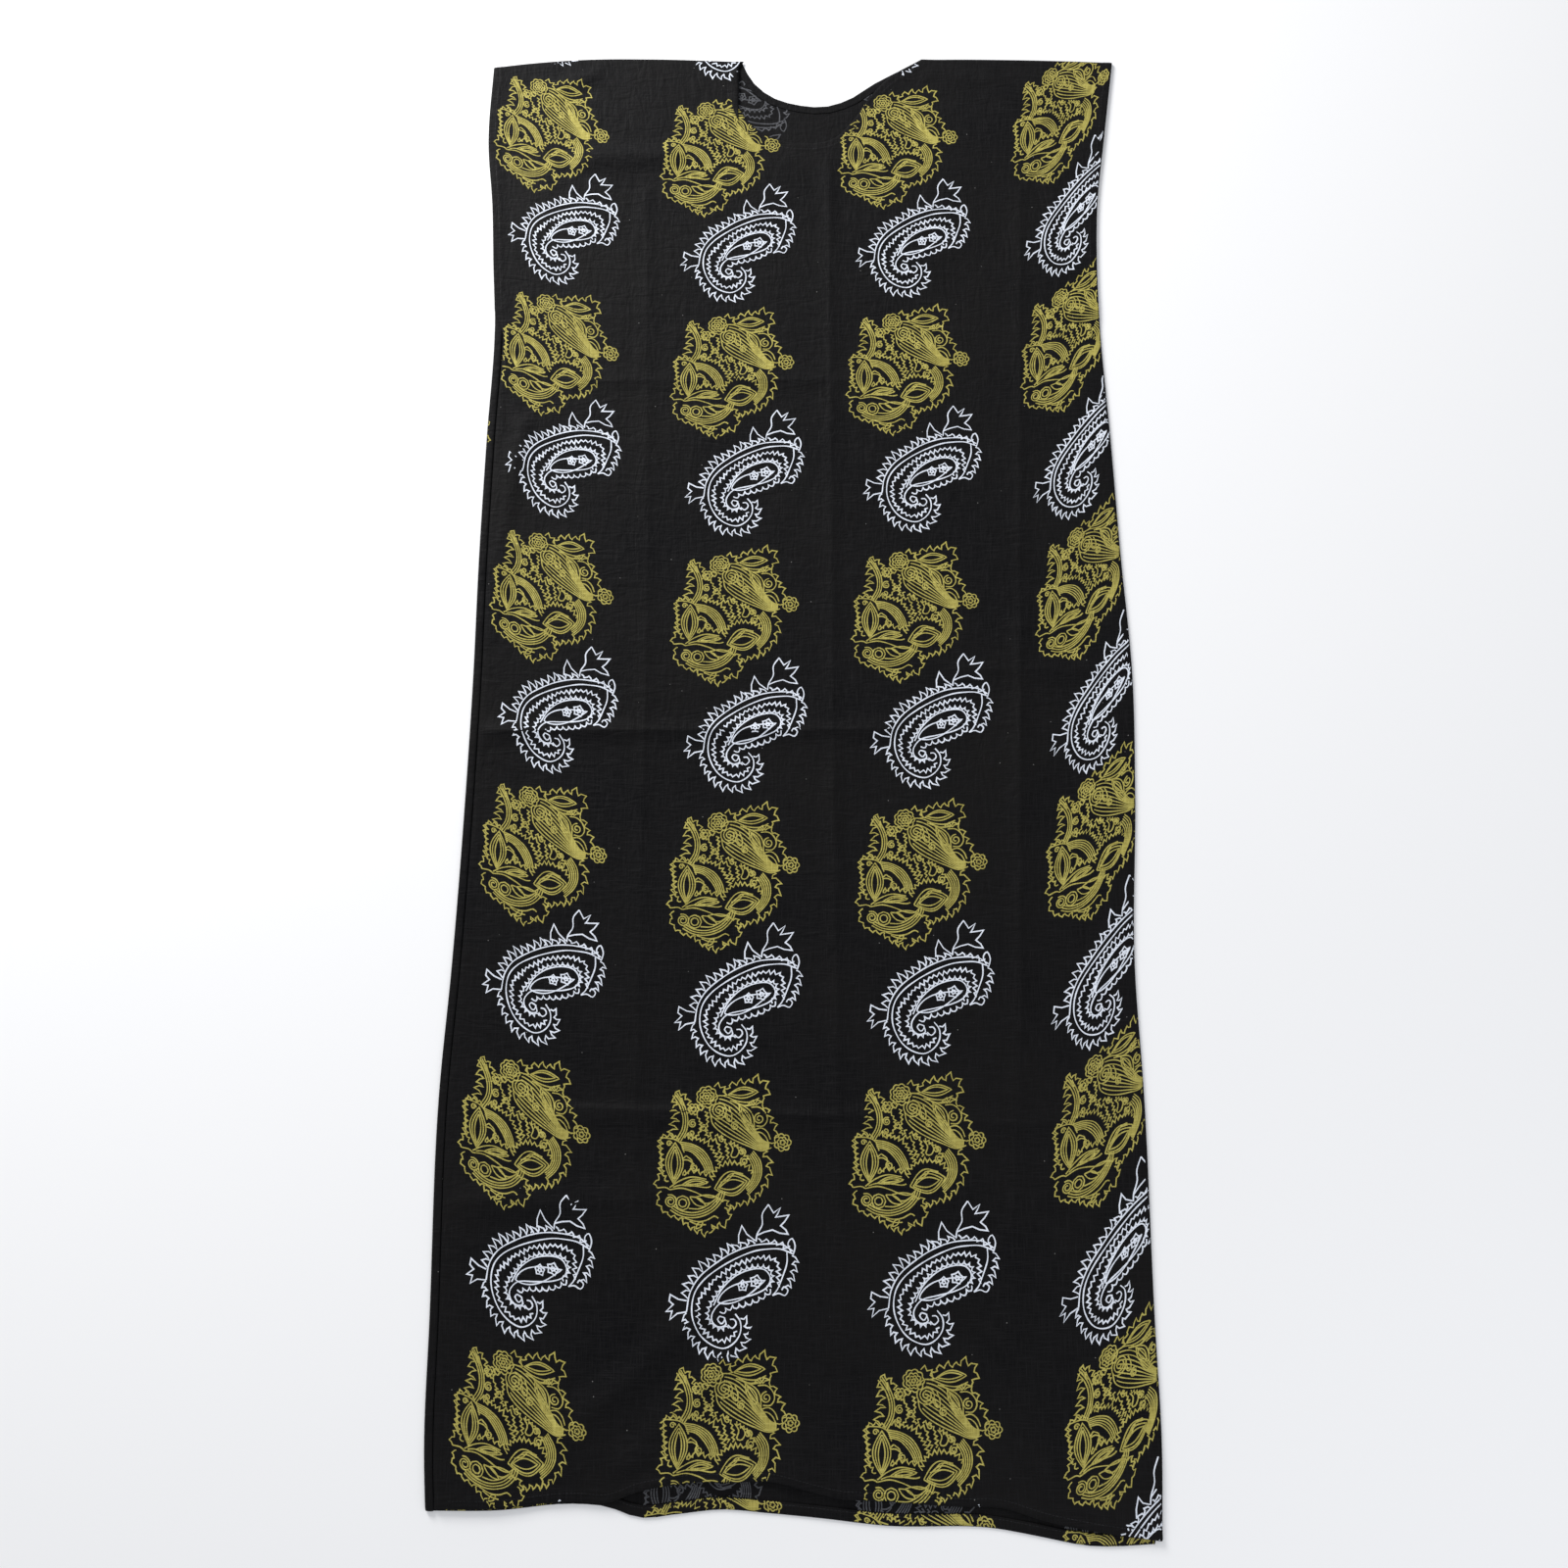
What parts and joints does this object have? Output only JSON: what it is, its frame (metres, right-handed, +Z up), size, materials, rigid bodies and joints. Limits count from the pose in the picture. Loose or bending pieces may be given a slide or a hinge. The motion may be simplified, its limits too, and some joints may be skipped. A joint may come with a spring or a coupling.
{
  "type": "kaftan dress",
  "caption": "Long sleeveless kaftan dress of dark printed cotton laid flat face up, with a scooped neck hole, open armholes and side seams.",
  "frame": {"origin": "middle of the laid dress's box, on the floor face under the back panel", "axes": "+Z up off the floor, +Y from the hem to the shoulders, +X to the right of the dress seen from above"},
  "size_m": [0.7224, 1.5786, 0.01],
  "materials": {
    "black_cotton": "matt near-black slub cotton, plain weave",
    "gold_print": "ochre gold pigment print, slightly satin",
    "white_print": "chalk white pigment print, matt",
    "sewing_thread": "black sewing thread, slight sheen"
  },
  "bodies": {
    "root": {"front_panel": "black_cotton", "back_panel": "black_cotton", "back_hem_turnup": "black_cotton"}
  },
  "joints": []
}
